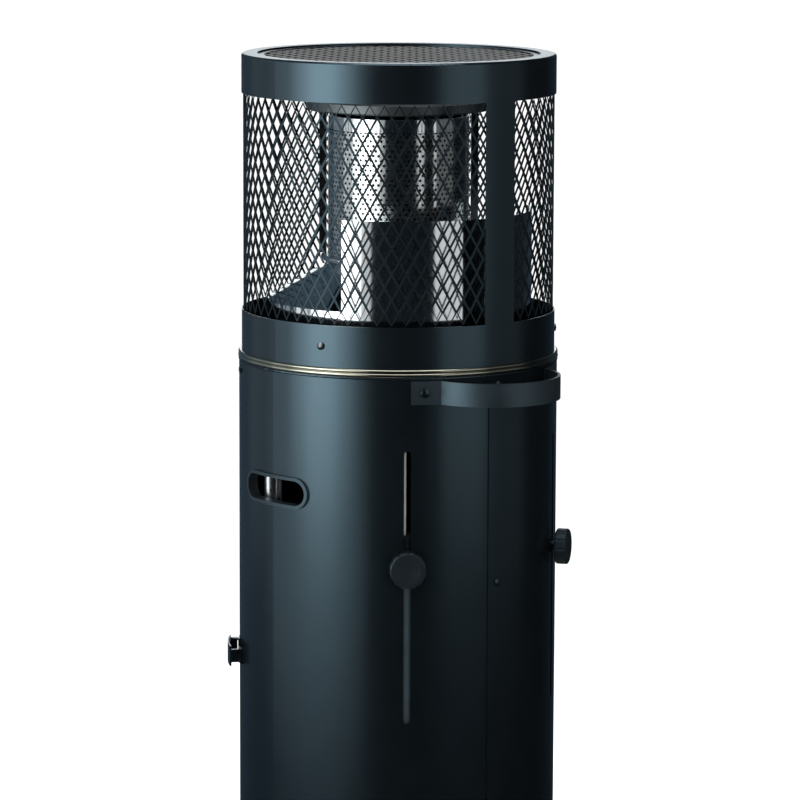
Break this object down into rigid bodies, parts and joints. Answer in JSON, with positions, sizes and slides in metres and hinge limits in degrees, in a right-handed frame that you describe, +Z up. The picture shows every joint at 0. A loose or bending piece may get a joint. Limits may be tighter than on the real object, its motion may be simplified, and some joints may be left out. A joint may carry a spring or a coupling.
{
  "type": "gas patio heater",
  "caption": "Free-standing gas patio heater: round telescoping steel body with bottle door and clamp knobs, mesh cage round a perforated emitter, carry handle and transport wheels.",
  "frame": {"origin": "on the floor at the column's axis, in the middle of the base plate's underside", "axes": "+Z up, +Y to the rear where the handle and wheels are, -Y to the door and gas control"},
  "size_m": [0.4599, 0.527, 1.1275],
  "materials": {
    "black_paint": "satin powder coat",
    "bare_steel": "bare rolled steel",
    "polished_steel": "polished stainless sheet",
    "zinc_steel": "zinc plated",
    "brass": "turned",
    "copper": "drawn tube",
    "black_plastic": "moulded",
    "tyre_rubber": "moulded",
    "ceramic_white": "glazed"
  },
  "bodies": {
    "base": {"base_plate": "black_paint", "base_pan": "black_paint", "lower_shell": "black_paint", "base_screws": "zinc_steel", "slide_posts": "black_paint", "post_bushes": "black_plastic", "clamp_bosses": "zinc_steel", "wheel_brackets": "black_paint", "axle": "zinc_steel", "axle_caps": "black_plastic"},
    "left_wheel": {"wheel_left": "black_plastic", "tyre_left": "tyre_rubber"},
    "right_wheel": {"wheel_right": "black_plastic", "tyre_right": "tyre_rubber"},
    "left_clamp": {"clamp_knob_left": "black_plastic", "clamp_stud_left": "zinc_steel"},
    "right_clamp": {"clamp_knob_right": "black_plastic", "clamp_stud_right": "zinc_steel"},
    "door": {"door_panel": "black_paint", "door_hinges": "black_paint", "latch_base": "black_paint"},
    "latch": {"latch_lever": "black_paint"},
    "spindle": {"valve_spindle": "zinc_steel"},
    "control": {"control_knob": "black_plastic"},
    "housing": {"upper_shell": "black_paint", "lap_strip": "black_paint", "shell_screws": "black_paint", "handle": "black_paint", "handle_screws": "black_paint", "hand_hole_trims": "black_plastic", "burner_deck": "zinc_steel", "collar_ring": "bare_steel", "guide_rods": "zinc_steel", "shell_hinges": "black_paint", "hinge_pins": "zinc_steel", "catch_plate": "black_paint", "dial_plate": "black_plastic", "cage_band": "black_paint", "cage_mesh": "black_paint", "cage_strap": "black_paint", "cage_cap": "black_paint", "top_grille": "black_paint", "cage_screws": "zinc_steel", "reflector_cone": "polished_steel", "wind_guard": "polished_steel", "emitter": "polished_steel", "emitter_base": "polished_steel", "hood_bracket": "zinc_steel", "hood": "polished_steel", "burner_tube": "zinc_steel", "injector": "brass", "gas_pipe": "copper", "valve_body": "brass", "valve_bracket": "zinc_steel", "hose_inlet": "brass", "pilot_burner": "brass", "spark_electrode": "ceramic_white", "thermocouple": "copper", "tilt_bracket": "zinc_steel", "tilt_switch": "zinc_steel"}
  },
  "joints": [
    {"name": "height_slide", "type": "slide", "parent": "base", "child": "housing", "axis": [0, 0, 1], "range_m": [-0.118, 0.155]},
    {"name": "left_wheel_spin", "type": "hinge", "parent": "base", "child": "left_wheel", "pos_m": [0, 0.252, 0.05], "axis": [1, 0, 0], "continuous": true},
    {"name": "right_wheel_spin", "type": "hinge", "parent": "base", "child": "right_wheel", "pos_m": [0, 0.252, 0.05], "axis": [1, 0, 0], "continuous": true},
    {"name": "left_clamp_turn", "type": "hinge", "parent": "base", "child": "left_clamp", "pos_m": [-0.10707, 0.14469, 0.605], "axis": [-0.5948, 0.8039, 0], "range_deg": [0, 360]},
    {"name": "right_clamp_turn", "type": "hinge", "parent": "base", "child": "right_clamp", "pos_m": [0.10707, 0.14469, 0.605], "axis": [0.5948, 0.8039, 0], "range_deg": [0, 360]},
    {"name": "door_swing", "type": "hinge", "parent": "housing", "child": "door", "pos_m": [-0.14593, -0.09477, 0.47], "axis": [0, 0, -1], "range_deg": [0, 110]},
    {"name": "latch_swing", "type": "hinge", "parent": "door", "child": "latch", "pos_m": [0.12732, -0.12295, 0.483], "axis": [0, 0, -1], "range_deg": [0, 75]},
    {"name": "valve_push", "type": "slide", "parent": "housing", "child": "spindle", "axis": [0, 1, 0], "range_m": [0, 0.004], "stiffness_N_per_m": 800},
    {"name": "control_turn", "type": "hinge", "parent": "spindle", "child": "control", "pos_m": [0, -0.185, 0.78], "axis": [0, -1, 0], "range_deg": [0, 210]}
  ]
}
